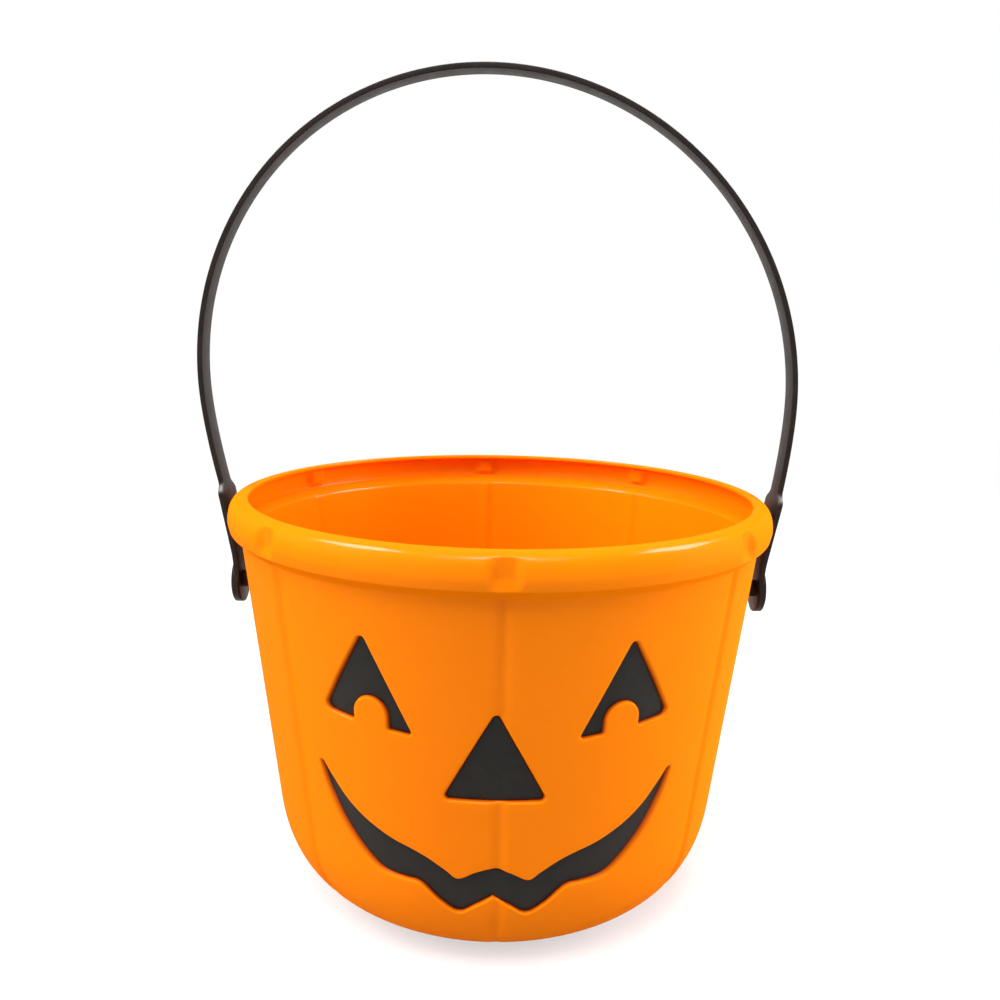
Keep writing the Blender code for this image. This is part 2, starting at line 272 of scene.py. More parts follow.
def arc_between(corner, before, after, radius, steps):
    # The arc that rounds a corner, given the directions from it along its two sides
    half = before.angle(after) / 2
    reach = radius / math.tan(half)
    centre = corner + (before + after).normalized() * (radius / math.sin(half))
    start = corner + before * reach - centre
    end = corner + after * reach - centre
    turn = start.angle_signed(end)
    return [centre + Matrix.Rotation(-turn * step / steps, 2) @ start for step in range(steps + 1)]


def fillet_line(corners, steps):
    # Rounds an open line, given as (point, radius)
    line = [corners[0][0]]
    for (start, _), (point, radius), (end, _) in zip(corners, corners[1:], corners[2:]):
        if radius == 0.0:
            line.append(point)
            continue
        before = (start - point).normalized()
        after = (end - point).normalized()
        line += arc_between(point, before, after, radius, steps)
    return line + [corners[-1][0]]


def offset_line(points, distance):
    # Moves an open line to its left by the distance, mitred at each corner
    moved = []
    for index, point in enumerate(points):
        before = point - points[index - 1] if index else points[1] - points[0]
        after = points[index + 1] - point if index + 1 < len(points) else before
        square = Vector((-before.y, before.x)).normalized()
        left = (square + Vector((-after.y, after.x)).normalized()).normalized()
        moved.append(point + left * (distance / left.dot(square)))
    return moved


def outer_corners():
    # From the free edge of the lip, over the rim and down the wall to the edge of the flat base
    top = pail_height
    rim = quadratic(
        Vector((lip_outer_radius, top)),
        Vector((rim_outer_radius, top)),
        Vector((rim_outer_radius, top - rim_round)),
        rim_steps,
    )
    wall_top = Vector((wall_top_radius, wall_top_height))
    wall_low = Vector((wall_low_radius, corner_height))
    corner = quadratic(
        wall_low, Vector((corner_foot_radius, 0.0)), Vector((base_radius, 0.0)), corner_steps
    )
    points = [Vector((lip_inner_radius, top)), *rim]
    rounds = [0.0] * len(points)
    points += [Vector((band_foot_radius, top - band_height)), wall_top]
    rounds += [band_foot_round, step_round]
    for step in range(1, wall_steps):
        points.append(wall_top.lerp(wall_low, step / wall_steps))
    points += corner
    rounds += [0.0] * (len(points) - len(rounds))
    return points, rounds


def section_rows():
    # Two lists of (radius, height, groove height), outside and inside, from the lip to the axis
    points, rounds = outer_corners()
    inside = offset_line(points, -wall_thickness)
    lip_edge = ((points[0] + inside[0]) / 2, 0.0)
    rounds[0] = lip_edge_round
    outer = fillet_line([lip_edge, *zip(points, rounds)], fillet_steps)
    inner = fillet_line([lip_edge, *zip(inside, rounds)], fillet_steps)
    outer_rows = [(point.x, point.y, point.y) for point in outer]
    inner_rows = []
    for point in inner:
        facing = min(outer, key=lambda other: (other - point).length)
        inner_rows.append((point.x, point.y, facing.y))
    for rows, height in ((outer_rows, 0.0), (inner_rows, wall_thickness)):
        reach = rows[-1][0]
        rows += [(reach * share, height, 0.0) for share in base_rings]
    return outer_rows, inner_rows


def notch_at(below_top):
    # How far the notch's upright floor lies behind the rim's rounding, at a depth below the top
    share = math.sqrt(min(below_top / rim_round, 1.0))
    rounding = (rim_outer_radius - lip_outer_radius) * (1.0 - share) ** 2
    fade = 1.0 - smoothstep((below_top - notch_end) / notch_fade)
    return max(notch_depth - rounding, 0.0) * fade


def groove_at(azimuth, height):
    # How far both surfaces of the shell move inwards at a notch or a groove
    nearest = min(abs((azimuth - centre + 180.0) % 360.0 - 180.0) for centre in groove_azimuths)
    if nearest >= notch_half_angle:
        return 0.0
    below_top = max(pail_height - height, 0.0)
    notch = smoothstep((notch_half_angle - nearest) / (notch_half_angle - notch_floor_angle))
    groove = math.cos(math.pi / 2 * min(nearest / groove_half_angle, 1.0)) ** 2
    groove *= smoothstep((below_top - band_height) / step_height) * smoothstep(height / groove_fade)
    return notch_at(below_top) * notch + groove_depth * groove


def column_azimuths():
    # Fine columns across each groove and even ones between, starting at -180 degrees
    centres = sorted((centre + 180.0) % 360.0 - 180.0 for centre in groove_azimuths)
    azimuths = []
    for index, centre in enumerate(centres):
        for part in range(groove_columns + 1):
            azimuths.append(centre + notch_half_angle * (2 * part / groove_columns - 1))
        start = centre + notch_half_angle
        end = centres[(index + 1) % len(centres)] - notch_half_angle
        if index + 1 == len(centres):
            end += 360.0
        count = max(1, round((end - start) / plain_step))
        azimuths += [blend_values(start, end, part / count) for part in range(1, count)]
    return azimuths


def around(radius, azimuth, height):
    angle = math.radians(azimuth)
    return Vector((radius * math.sin(angle), -radius * math.cos(angle), height))


def section_at(rows, height):
    # Radius and groove height of a wall surface at a height
    for upper, lower in zip(rows, rows[1:]):
        if lower[1] <= height <= upper[1] and upper[1] > lower[1] and upper[1] < wall_top_height:
            share = (height - lower[1]) / (upper[1] - lower[1])
            return [blend_values(lower[part], upper[part], share) for part in (0, 2)]
    raise ValueError("no wall at height " + str(height))


# Face outlines


def closed_outline(corners):
    # Points every outline_spacing round a closed shape whose corners are (across, height, radius)
    rough = []
    for index, (across, height, radius) in enumerate(corners):
        point = Vector((across, height))
        if radius == 0.0:
            rough.append(point)
            continue
        before = (Vector(corners[index - 1][:2]) - point).normalized()
        after = (Vector(corners[(index + 1) % len(corners)][:2]) - point).normalized()
        rough += arc_between(point, before, after, radius, outline_round_steps)
    outline = []
    for index, point in enumerate(rough):
        following = rough[(index + 1) % len(rough)]
        parts = max(1, round((following - point).length / outline_spacing))
        outline += [point.lerp(following, part / parts) for part in range(parts)]
    return outline


def inward_edges(outline):
    # (point, direction inwards, draft, edge radius, room) for each point of a closed outline
    area = sum(a.x * b.y - b.x * a.y for a, b in zip(outline, outline[1:] + outline[:1]))
    side = -1.0 if area > 0 else 1.0
    edges = []
    for index, point in enumerate(outline):
        before = point - outline[index - 1]
        after = outline[(index + 1) % len(outline)] - point
        square = Vector((before.y, -before.x)).normalized() * side
        inwards = (square + Vector((after.y, -after.x)).normalized() * side).normalized()
        stretch = 1.0 / inwards.dot(square)
        edges.append((point, inwards * stretch, recess_draft, recess_top_round, ample_room))
    return edges


def eye_edges(side):
    # A leaning triangle with a round-headed tab, the pupil, standing up from its lower edge
    tab_centre = Vector((0.0396, 0.0920))
    tab_radius = 0.0057
    tab_steps = 24
    corner_round = 0.0012
    outer_round = 0.0024
    peak_round = 0.0016
    tab = []
    for step in range(tab_steps + 1):
        angle = math.pi * (1.0 - step / tab_steps)
        tab.append(tab_centre + Vector((math.cos(angle), math.sin(angle))) * tab_radius)
    corners = [(0.0249, 0.0870, corner_round), (tab[0].x, 0.0877, corner_round)]
    corners += [(point.x, point.y, 0.0) for point in tab]
    corners += [(tab[-1].x, 0.0888, corner_round)]
    corners += [(0.0584, 0.0902, outer_round), (0.0406, 0.1198, peak_round)]
    return inward_edges([Vector((point.x * side, point.y)) for point in closed_outline(corners)])


def nose_edges():
    corner_round = 0.0017
    corners = [(-0.0173, 0.0666), (0.0173, 0.0666), (0.0, 0.0983)]
    return inward_edges(closed_outline([(*corner, corner_round) for corner in corners]))


def mouth_edges():
    # Points on the lower edge, from the middle to the corner, each with the point facing it above.
    # Towards the corner the lower side slopes more gently
    bottom = (
        (0.0, 0.0320), (0.0060, 0.0283), (0.0118, 0.0252), (0.0180, 0.0285), (0.0250, 0.0345),
        (0.0310, 0.0352), (0.0390, 0.0357), (0.0449, 0.0387), (0.0516, 0.0445), (0.0572, 0.0517),
        (0.0612, 0.0600), (0.0632, 0.0682),
    )
    top = (
        (0.0, 0.0429), (0.0056, 0.0414), (0.0118, 0.0386), (0.0160, 0.0412), (0.0220, 0.0449),
        (0.0280, 0.0474), (0.0340, 0.0493), (0.0400, 0.0519), (0.0462, 0.0553), (0.0520, 0.0597),
        (0.0572, 0.0653), (0.0612, 0.0700),
    )
    steps = 9
    tip_steps = 8
    slope_start = 0.45
    slope_span = 0.4
    room_share = 0.42
    lower = smooth_through([Vector(point) for point in bottom], steps)
    upper = smooth_through([Vector(point) for point in top], steps, True)
    reach = lower[-1].x
    below = []
    above = []
    for low, high in zip(lower, upper):
        width = (high - low).length
        up = (high - low) / width
        share = smoothstep((low.x / reach - slope_start) / slope_span)
        draft = blend_values(recess_draft, mouth_corner_draft, share)
        edge_round = blend_values(recess_top_round, mouth_corner_round, share)
        room = width * room_share
        below.append((low, up, draft, edge_round, room))
        above.append((high, -up, recess_draft, recess_top_round, room))
    middle = (lower[-1] + upper[-1]) / 2
    spoke = lower[-1] - middle
    room = 2 * spoke.length * room_share
    tip = []
    for step in range(1, tip_steps):
        turned = Matrix.Rotation(math.pi * step / tip_steps, 2) @ spoke
        draft = blend_values(below[-1][2], recess_draft, step / tip_steps)
        edge_round = blend_values(below[-1][3], recess_top_round, step / tip_steps)
        tip.append((middle + turned, -turned.normalized(), draft, edge_round, room))
    right = below + tip + above[::-1]
    left = []
    for point, inwards, draft, edge_round, room in right[-2:0:-1]:
        mirrored = Vector((-inwards.x, inwards.y))
        left.append((Vector((-point.x, point.y)), mirrored, draft, edge_round, room))
    return right + left


def edge_profile(draft, depth, top_round, floor_round, room):
    # (distance inwards, depth) from the plain wall over the edge and down to the floor. The two
    # roundings shrink until they fit on the slope, and the distances where room inwards is short
    flat = 0.02
    usable = 0.96
    corners = [
        (Vector((-flat, 0.0)), 0.0),
        (Vector((0.0, 0.0)), top_round),
        (Vector((draft, depth)), floor_round),
        (Vector((draft + flat, depth)), 0.0),
    ]
    steep = math.atan2(depth, draft)
    span = math.hypot(draft, depth)
    reach = (top_round + floor_round) * math.tan(steep / 2)
    if reach > usable * span:
        fit = usable * span / reach
        corners[1] = (corners[1][0], top_round * fit)
        corners[2] = (corners[2][0], floor_round * fit)
    profile = fillet_line(corners, profile_steps)[1:-1]
    squeeze = min(1.0, room / profile[-1].x)
    return [(point.x * (squeeze if point.x > 0.0 else 1.0), point.y) for point in profile]


def feature_rings(edges, depth, floor_round, plain_rings, shift=0.0):
    # Rings of (place, depth) from outside a feature's edge, moved out by the shift, to its floor
    lines = []
    for point, inwards, draft, top_round, room in edges:
        profile = edge_profile(draft, depth, top_round, floor_round, room)
        plain = [(profile[0][0] - distance, 0.0) for distance in plain_rings]
        lines.append([(point + inwards * (inside - shift), sunk) for inside, sunk in plain + profile])
    return list(zip(*lines))


def inside_outline(point, outline):
    inside = False
    for start, end in zip(outline, outline[1:] + outline[:1]):
        if (start.y > point.y) != (end.y > point.y):
            crossing = start.x + (point.y - start.y) / (end.y - start.y) * (end.x - start.x)
            if point.x < crossing:
                inside = not inside
    return inside


def close_to_outline(point, outline, distance):
    # Sides that start further away than this are too short to come near
    far = 0.01
    for start, end in zip(outline, outline[1:] + outline[:1]):
        if abs(start.x - point.x) > far or abs(start.y - point.y) > far:
            continue
        _, share = intersect_point_line(point.to_3d(), start.to_3d(), end.to_3d())
        share = min(max(share, 0.0), 1.0)
        if (start.lerp(end, share) - point).length < distance:
            return True
    return False


def fill_region(borders, loose, holes=()):
    # Triangles inside the first closed border, through the loose points and outside the holes that
    # the other borders go round. Borders and loose points are lists of (place, vertex number)
    edges = []
    first = 0
    for border in borders:
        count = len(border)
        edges += [(first + index, first + (index + 1) % count) for index in range(count)]
        first += count
    known = [pair for border in (*borders, loose) for pair in border]
    places = [place for place, _ in known]
    numbers = [number for _, number in known]
    whole_hull = 0
    found, lines, triangles, origins, line_origins, _ = delaunay_2d_cdt(
        places, edges, [], whole_hull, merge_distance, True
    )
    fences = {frozenset(line) for line, origin in zip(lines, line_origins) if origin}
    outline = [place for place, _ in borders[0]]
    filled = []
    for region in fenced_regions(triangles, fences):
        spans = []
        for triangle in region:
            a, b, c = [found[corner] for corner in triangle]
            spans.append((abs((b - a).cross(c - a)), (a + b + c) / 3))
        size, middle = max(spans, key=lambda span: span[0])
        if size < sliver_size or not inside_outline(middle, outline):
            continue
        if any(inside_outline(middle, hole) for hole in holes):
            continue
        for triangle in region:
            filled.append([numbers[origins[corner][0]] for corner in triangle])
    return filled


def fenced_regions(triangles, fences):
    # Groups of triangles that meet at edges other than the fences
    beside = {}
    for index, triangle in enumerate(triangles):
        for corner in range(3):
            edge = frozenset((triangle[corner - 1], triangle[corner]))
            beside.setdefault(edge, []).append(index)
    regions = []
    seen = set()
    for first in range(len(triangles)):
        if first in seen:
            continue
        seen.add(first)
        region = []
        waiting = [first]
        while waiting:
            index = waiting.pop()
            region.append(triangles[index])
            for corner in range(3):
                edge = frozenset((triangles[index][corner - 1], triangles[index][corner]))
                if edge in fences:
                    continue
                fresh = [other for other in beside[edge] if other not in seen]
                seen.update(fresh)
                waiting += fresh
        regions.append(region)
    return regions


# Meshes


class Shell:
    # Points and faces of a mesh while it is made. A point's sunk share is 1 on a recess floor
    def __init__(self):
        self.points = []
        self.faces = []
        self.sunk = []

    def add(self, point, sunk=0.0):
        self.points.append(point)
        self.sunk.append(sunk)
        return len(self.points) - 1

    def bridge(self, rings):
        # Quads from each closed ring to the next, which have as many points
        for ring, following in zip(rings, rings[1:]):
            for index, corner in enumerate(ring):
                second = (index + 1) % len(ring)
                self.faces.append((corner, ring[second], following[second], following[index]))

    def close(self, rings):
        # A solid from its rings, with a flat face at both ends
        self.bridge(rings)
        self.faces += [tuple(rings[0]), tuple(rings[-1])]


def make_piece(name, shell, material):
    mesh = bpy.data.meshes.new(name)
    mesh.from_pydata(shell.points, [], shell.faces)
    mesh.validate()
    piece = bpy.data.objects.new(name, mesh)
    bpy.context.scene.collection.objects.link(piece)
    point_outwards(mesh)
    soften(mesh, sharp_angle)
    mesh.materials.append(material)
    return piece


def point_outwards(mesh):
    net = bmesh.new()
    net.from_mesh(mesh)
    bmesh.ops.recalc_face_normals(net, faces=net.faces)
    net.to_mesh(mesh)
    net.free()


def soften(mesh, angle):
    mesh.shade_smooth()
    mesh.set_sharp_from_angle(angle=math.radians(angle))


def combine(piece, others, operation, angle):
    # Joins or cuts the piece with the others for good, and removes them
    for other in others:
        modifier = piece.modifiers.new(other.name, "BOOLEAN")
        modifier.operation = operation
        modifier.solver = "MANIFOLD"
        modifier.object = other
    graph = bpy.context.evaluated_depsgraph_get()
    mesh = bpy.data.meshes.new_from_object(piece.evaluated_get(graph))
    if len(mesh.polygons) == len(piece.data.polygons):
        raise ValueError("nothing joined or cut on " + piece.name)
    piece.modifiers.clear()
    piece.data = mesh
    soften(mesh, angle)
    for other in others:
        bpy.data.objects.remove(other, do_unlink=True)


def wall_place(rows, place, depth, full_depth):
    # A place on the flat drawing, bent round the wall and sunk by the depth
    radius, groove_height = section_at(rows, place.y)
    azimuth = math.degrees(place.x / face_radius)
    groove = groove_at(azimuth, groove_height) * (1.0 - depth / full_depth)
    return around(radius - groove - depth, azimuth, place.y)


def add_feature(shell, rows, rings, full_depth):
    # The rings of one feature and its floor. Returns its outermost ring as (place, vertex number)
    numbered = []
    for ring in rings:
        numbers = []
        for place, depth in ring:
            point = wall_place(rows, place, depth, full_depth)
            numbers.append(shell.add(point, depth / full_depth))
        numbered.append(numbers)
    shell.bridge(numbered)
    floor = [place for place, _ in rings[-1]]
    add_cover(shell, rows, floor, numbered[-1], full_depth, floor_spacing, floor_clearance)
    return list(zip([place for place, _ in rings[0]], numbered[0]))


def add_cover(shell, rows, outline, numbers, depth, spacing, clearance):
    # Fills a closed ring that lies at one depth, given as places and their vertex numbers
    loose = []
    for place in loose_places(outline, spacing, clearance):
        loose.append((place, shell.add(wall_place(rows, place, depth, depth), 1.0)))
    shell.faces += fill_region([list(zip(outline, numbers))], loose)


def loose_places(outline, spacing, clearance):
    # Even points inside an outline and clear of it
    spans = []
    for values in zip(*outline):
        low = math.floor(min(values) / spacing)
        spans.append(range(low, math.ceil(max(values) / spacing) + 1))
    found = []
    for column in spans[0]:
        for row in spans[1]:
            place = Vector((column * spacing, row * spacing))
            if inside_outline(place, outline) and not close_to_outline(place, outline, clearance):
                found.append(place)
    return found


def add_wall(shell, rows, azimuths, features, full_depth, first_row=None):
    # One side of the wall: rows and columns, with a patch let in that holds the face. It starts on
    # the vertex numbers of the first row where they are given, and returns them
    flat = [math.radians(azimuth) * face_radius for azimuth in azimuths]
    patch_columns = [index for index, across in enumerate(flat) if abs(across) <= patch_half_width]
    patch_rows = [
        index for index, row in enumerate(rows)
        if patch_low <= row[1] <= patch_high and row[0] > patch_half_width
    ]
    left, right = patch_columns[0], patch_columns[-1]
    upper, lower = patch_rows[0], patch_rows[-1]
    borders = [add_feature(shell, rows, rings, full_depth) for rings in features]
    holes = [[place for place, _ in border] for border in borders]
    boxes = []
    for hole in holes:
        spans = [[place[axis] for place in hole] for axis in (0, 1)]
        boxes.append([
            (min(span) - patch_box_margin, max(span) + patch_box_margin) for span in spans
        ])
    grid = {}
    loose = []
    for column, azimuth in enumerate(azimuths):
        for row, (radius, height, groove_height) in enumerate(rows):
            if row == 0 and first_row:
                grid[column, row] = first_row[column]
                continue
            place = Vector((flat[column], height))
            within = left < column < right and upper < row < lower
            if within and blocked(place, holes, boxes):
                continue
            shifted = radius - groove_at(azimuth, groove_height)
            grid[column, row] = shell.add(around(shifted, azimuth, height))
            if within:
                loose.append((place, grid[column, row]))
    last = len(rows) - 1
    axis = shell.add(Vector((0.0, 0.0, rows[-1][1])))
    for column in range(len(azimuths)):
        following = (column + 1) % len(azimuths)
        for row in range(last):
            if left <= column < right and upper <= row < lower:
                continue
            shell.faces.append((
                grid[column, row], grid[following, row],
                grid[following, row + 1], grid[column, row + 1],
            ))
        shell.faces.append((grid[column, last], grid[following, last], axis))
    frame_border = [(column, upper) for column in range(left, right)]
    frame_border += [(right, row) for row in range(upper, lower)]
    frame_border += [(column, lower) for column in range(right, left, -1)]
    frame_border += [(left, row) for row in range(lower, upper, -1)]
    edge = []
    for column, row in frame_border:
        edge.append((Vector((flat[column], rows[row][1])), grid[column, row]))
    shell.faces += fill_region([edge, *borders], loose, holes)
    return [grid[column, 0] for column in range(len(azimuths))]


def blocked(place, holes, boxes):
    # Whether a place lies in a feature or too close to its outermost ring
    for hole, (across, up) in zip(holes, boxes):
        if not (across[0] < place.x < across[1] and up[0] < place.y < up[1]):
            continue
        if inside_outline(place, hole) or close_to_outline(place, hole, patch_clearance):
            return True
    return False


def make_bucket(edges_by_name, material):
    # The outside holds the recesses, and the inside the pads that thicken the wall behind them
    outer_rows, inner_rows = section_rows()
    azimuths = column_azimuths()
    recesses = []
    pads = []
    for edges in edges_by_name.values():
        rings = feature_rings(edges, recess_depth, recess_floor_round, recess_plain_rings)
        recesses.append(rings)
        pad_edges = []
        for point, inwards, *_ in edges:
            pad_edges.append((point, inwards, pad_draft, pad_round, ample_room))
        rings = feature_rings(pad_edges, pad_height, pad_round, pad_plain_rings, pad_margin)
        pads.append(rings)
    shell = Shell()
    lip = add_wall(shell, outer_rows, azimuths, recesses, recess_depth)
    # The painted recess shade is on the outside only
    sunk = list(shell.sunk)
    add_wall(shell, inner_rows, azimuths, pads, pad_height, lip)
    sunk += [0.0] * (len(shell.points) - len(sunk))
    bucket = make_piece("pail_shell", shell, material)
    bucket.data.attributes.new("sunk", "FLOAT", "POINT").data.foreach_set("value", sunk)
    combine(bucket, [pin_holes(material)], "DIFFERENCE", sharp_angle)
    return bucket


def pin_holes(material):
    radius = pin_radius + pin_play
    reach = pivot_wall_radius + hole_overshoot
    return lathe_piece("pin_holes", [(-reach, radius), (reach, radius)], hole_segments, material)


def lathe_piece(name, section, segments, material):
    # A closed solid turned about the pivot axis, from (place along X, radius) pairs
    shell = Shell()
    rings = []
    for along, radius in section:
        ring = []
        for segment in range(segments):
            angle = 2 * math.pi * segment / segments
            rise = pivot_height + radius * math.sin(angle)
            ring.append(shell.add(Vector((along, radius * math.cos(angle), rise))))
        rings.append(ring)
    shell.close(rings)
    return make_piece(name, shell, material)


def make_inlay(name, edges, material):
    # A thin plate that follows the recess's sloping sides, with its upper edge rounded
    top = recess_depth - inlay_gap - inlay_thickness
    bottom = recess_depth - inlay_gap
    levels = [(0.0, bottom)]
    for step in range(inlay_round_steps + 1):
        angle = math.pi / 2 * step / inlay_round_steps
        level = (inlay_round * (1 - math.cos(angle)), top + inlay_round * (1 - math.sin(angle)))
        levels.append(level)
    squeezes = []
    for _, _, draft, top_round, room in edges:
        profile = edge_profile(draft, recess_depth, top_round, recess_floor_round, ample_room)
        squeezes.append(min(1.0, room / profile[-1][0]))
    outer_rows, _ = section_rows()
    shell = Shell()
    outlines = []
    rings = []
    for inside, depth in levels:
        outline = []
        for (point, inwards, draft, *_), squeeze in zip(edges, squeezes):
            distance = (draft * depth / recess_depth + inlay_clearance + inside) * squeeze
            outline.append(point + inwards * distance)
        outlines.append(outline)
        rings.append([shell.add(wall_place(outer_rows, place, depth, depth)) for place in outline])
    shell.bridge(rings)
    for end in (0, -1):
        add_cover(
            shell, outer_rows, outlines[end], rings[end], levels[end][1],
            inlay_spacing, inlay_edge_clearance,
        )
    return make_piece(name + "_inlay", shell, material)


# Handle


def strap_line():
    # Middle of the strap from the top of the loop down the +X side to the pivot, as (x, height)
    side = Vector((loop_half_width, loop_side_height))
    top_height = loop_top - strap_thickness / 2
    shoulder = Vector((shoulder_half_width, shoulder_height))
    bend = Vector((paddle_foot_half_width, pivot_height + disc_radius))
    end_share = 0.999
    line = []
    for step in range(loop_steps + 1):
        angle = math.pi / 2 * (1.0 - step / loop_steps)
        height = blend_values(side.y, top_height, math.sin(angle))
        line.append(Vector((side.x * math.cos(angle), height)))
    lean = (shoulder - bend).normalized()
    control = shoulder + lean * ((side.x - shoulder.x) / lean.x)
    line += quadratic(side, control, shoulder, side_steps)[1:]
    bend_start = bend + lean * paddle_bend_reach
    bend_end = Vector((bend.x, bend.y - paddle_bend_reach))
    line += between(shoulder, bend_start, paddle_steps)
    line += quadratic(bend_start, bend, bend_end, bend_steps)[1:]
    line += between(bend_end, Vector((bend.x, pivot_height)), foot_steps)
    for part in range(1, end_steps + 1):
        drop = disc_radius * math.sin(math.pi / 2 * part / end_steps) * end_share
        line.append(Vector((bend.x, pivot_height - drop)))
    return line


def between(start, end, steps):
    # Even points on a straight line, without its first point
    return [start.lerp(end, part / steps) for part in range(1, steps + 1)]


def strap_half_width(height):
    # Narrow in the loop, wide in the paddle, and round below the pivot
    narrow = strap_width / 2
    wide = paddle_width / 2
    least = 0.0003
    rise = height - pivot_height
    if rise < 0.0:
        return max(wide * math.sqrt(max(1.0 - (rise / disc_radius) ** 2, 0.0)), least)
    above = height - (shoulder_height - shoulder_length)
    return blend_values(wide, narrow, smoothstep(above / shoulder_length))


def strap_section(half_width):
    # A rectangle with rounded corners, as (across the thickness, along Y)
    half = strap_thickness / 2
    edge_share = 0.8
    edge = min(strap_edge_round, half_width * edge_share)
    section = []
    for quarter, (side, way) in enumerate(((1, 1), (-1, 1), (-1, -1), (1, -1))):
        for step in range(strap_edge_steps + 1):
            angle = math.pi / 2 * (quarter + step / strap_edge_steps)
            across = side * (half - edge) + edge * math.cos(angle)
            along = way * (half_width - edge) + edge * math.sin(angle)
            section.append((across, along))
    return section


def strap_piece(material):
    # The strap from disc to disc, with the loop's sideways lean
    right = strap_line()
    line = [Vector((-point.x, point.y)) for point in right[:0:-1]] + right
    placed = []
    for point in line:
        share = max(point.y - pail_height, 0.0) / (loop_top - pail_height)
        placed.append(Vector((point.x + loop_sway * share, point.y)))
    shell = Shell()
    rings = []
    for index, point in enumerate(placed):
        before = placed[max(index - 1, 0)]
        after = placed[min(index + 1, len(placed) - 1)]
        along = (after - before).normalized()
        outwards = Vector((-along.y, along.x))
        ring = []
        for across, depth in strap_section(strap_half_width(line[index].y)):
            at = point + outwards * across
            ring.append(shell.add(Vector((at.x, depth, at.y))))
        rings.append(ring)
    shell.close(rings)
    return make_piece("strap_handle", shell, material)


def pivot_section(side):
    # From the snap head inside the wall to the rounded edge of the disc's outer face, as
    # (place along X, radius)
    hub_face = pivot_wall_radius + wall_slope * hub_radius + running_gap
    ridge = pivot_wall_radius - wall_slope * head_radius - wall_thickness - groove_depth
    head_face = ridge - running_gap
    head_end = head_face - head_length
    disc_end = paddle_foot_half_width + strap_thickness / 2 + disc_stand
    disc_face = disc_end - disc_thickness
    section = [
        (head_end, head_tip_radius),
        (head_end + head_edge, head_tip_radius + 2 * small_edge),
        (head_face - small_edge - 2 * head_edge, head_radius - small_edge),
        (head_face - small_edge - head_edge, head_radius),
        (head_face - small_edge, head_radius),
        (head_face, head_radius - small_edge),
        (head_face, pin_radius),
        (hub_face, pin_radius),
        (hub_face, hub_radius - small_edge),
        (hub_face + small_edge, hub_radius),
        (disc_face, hub_radius),
        (disc_face, disc_radius - disc_back_edge),
        (disc_face + disc_back_edge, disc_radius),
    ]
    for step in range(disc_edge_steps + 1):
        angle = math.pi / 2 * step / disc_edge_steps
        along = disc_end - disc_edge + disc_edge * math.sin(angle)
        section.append((along, disc_radius - disc_edge + disc_edge * math.cos(angle)))
    return [(along * side, radius) for along, radius in section]


def make_handle(material):
    handle = strap_piece(material)
    pivots = []
    for name, side in (("right_pivot", 1.0), ("left_pivot", -1.0)):
        pivots.append(lathe_piece(name, pivot_section(side), pivot_segments, material))
    combine(handle, pivots, "UNION", handle_sharp_angle)
    return handle


# Materials


def new_material(name, colour, roughness):
    material = bpy.data.materials.new(name)
    material.use_nodes = True
    shader = material.node_tree.nodes["Principled BSDF"]
    shader.inputs["Base Color"].default_value = (*colour, 1.0)
    shader.inputs["Roughness"].default_value = roughness
    return material, shader


def add_node(owner, kind, **values):
    # A new node of a material or the world, with its inputs and settings
    node = owner.node_tree.nodes.new(kind)
    for name, value in values.items():
        if name in node.inputs:
            node.inputs[name].default_value = value
        else:
            setattr(node, name, value)
    return node


def link(owner, source, target):
    owner.node_tree.links.new(source, target)


def noise(material, scale, detail=3.0, roughness=0.5, stretch=(1.0, 1.0, 1.0)):
    # Noise on the object itself, with its scale per metre and stretched along an axis whose number
    # is below 1
    place = add_node(material, "ShaderNodeTexCoord")
    mapping = add_node(material, "ShaderNodeMapping")
    mapping.inputs["Scale"].default_value = stretch
    texture = add_node(
        material, "ShaderNodeTexNoise", Scale=scale, Detail=detail, Roughness=roughness
    )
    link(material, place.outputs["Object"], mapping.inputs["Vector"])
    link(material, mapping.outputs["Vector"], texture.inputs["Vector"])
    return texture.outputs["Fac"]


def ramp(material, source, low, high, low_at=0.3, high_at=0.7):
    # From one value to another while the source goes from low_at to high_at
    node = add_node(material, "ShaderNodeMapRange")
    node.inputs["From Min"].default_value = low_at
    node.inputs["From Max"].default_value = high_at
    node.inputs["To Min"].default_value = low
    node.inputs["To Max"].default_value = high
    link(material, source, node.inputs["Value"])
    return node.outputs["Result"]


def mixed_colour(material, source, low, high, low_at=0.3, high_at=0.7):
    # The same between two colours, of which the first may come from another node
    node = add_node(material, "ShaderNodeMix", data_type="RGBA")
    link(material, ramp(material, source, 0.0, 1.0, low_at, high_at), node.inputs["Factor"])
    first, second = [socket for socket in node.inputs if socket.type == "RGBA"]
    if isinstance(low, tuple):
        first.default_value = (*low, 1.0)
    else:
        link(material, low, first)
    second.default_value = (*high, 1.0)
    return [socket for socket in node.outputs if socket.type == "RGBA"][0]


def add_bump(material, shader, layers):
    # Layers are (height source, height in metres)
    normal = None
    for source, height in layers:
        bump = add_node(material, "ShaderNodeBump")
        bump.inputs["Distance"].default_value = height
        bump.inputs["Strength"].default_value = 1.0
        link(material, source, bump.inputs["Height"])
        if normal:
            link(material, normal, bump.inputs["Normal"])
        normal = bump.outputs["Normal"]
    link(material, normal, shader.inputs["Normal"])


def dress(material, shader, colour, roughness, specular, layers):
    link(material, colour, shader.inputs["Base Color"])
    link(material, roughness, shader.inputs["Roughness"])
    shader.inputs["Specular IOR Level"].default_value = specular
    add_bump(material, shader, layers)
    return material


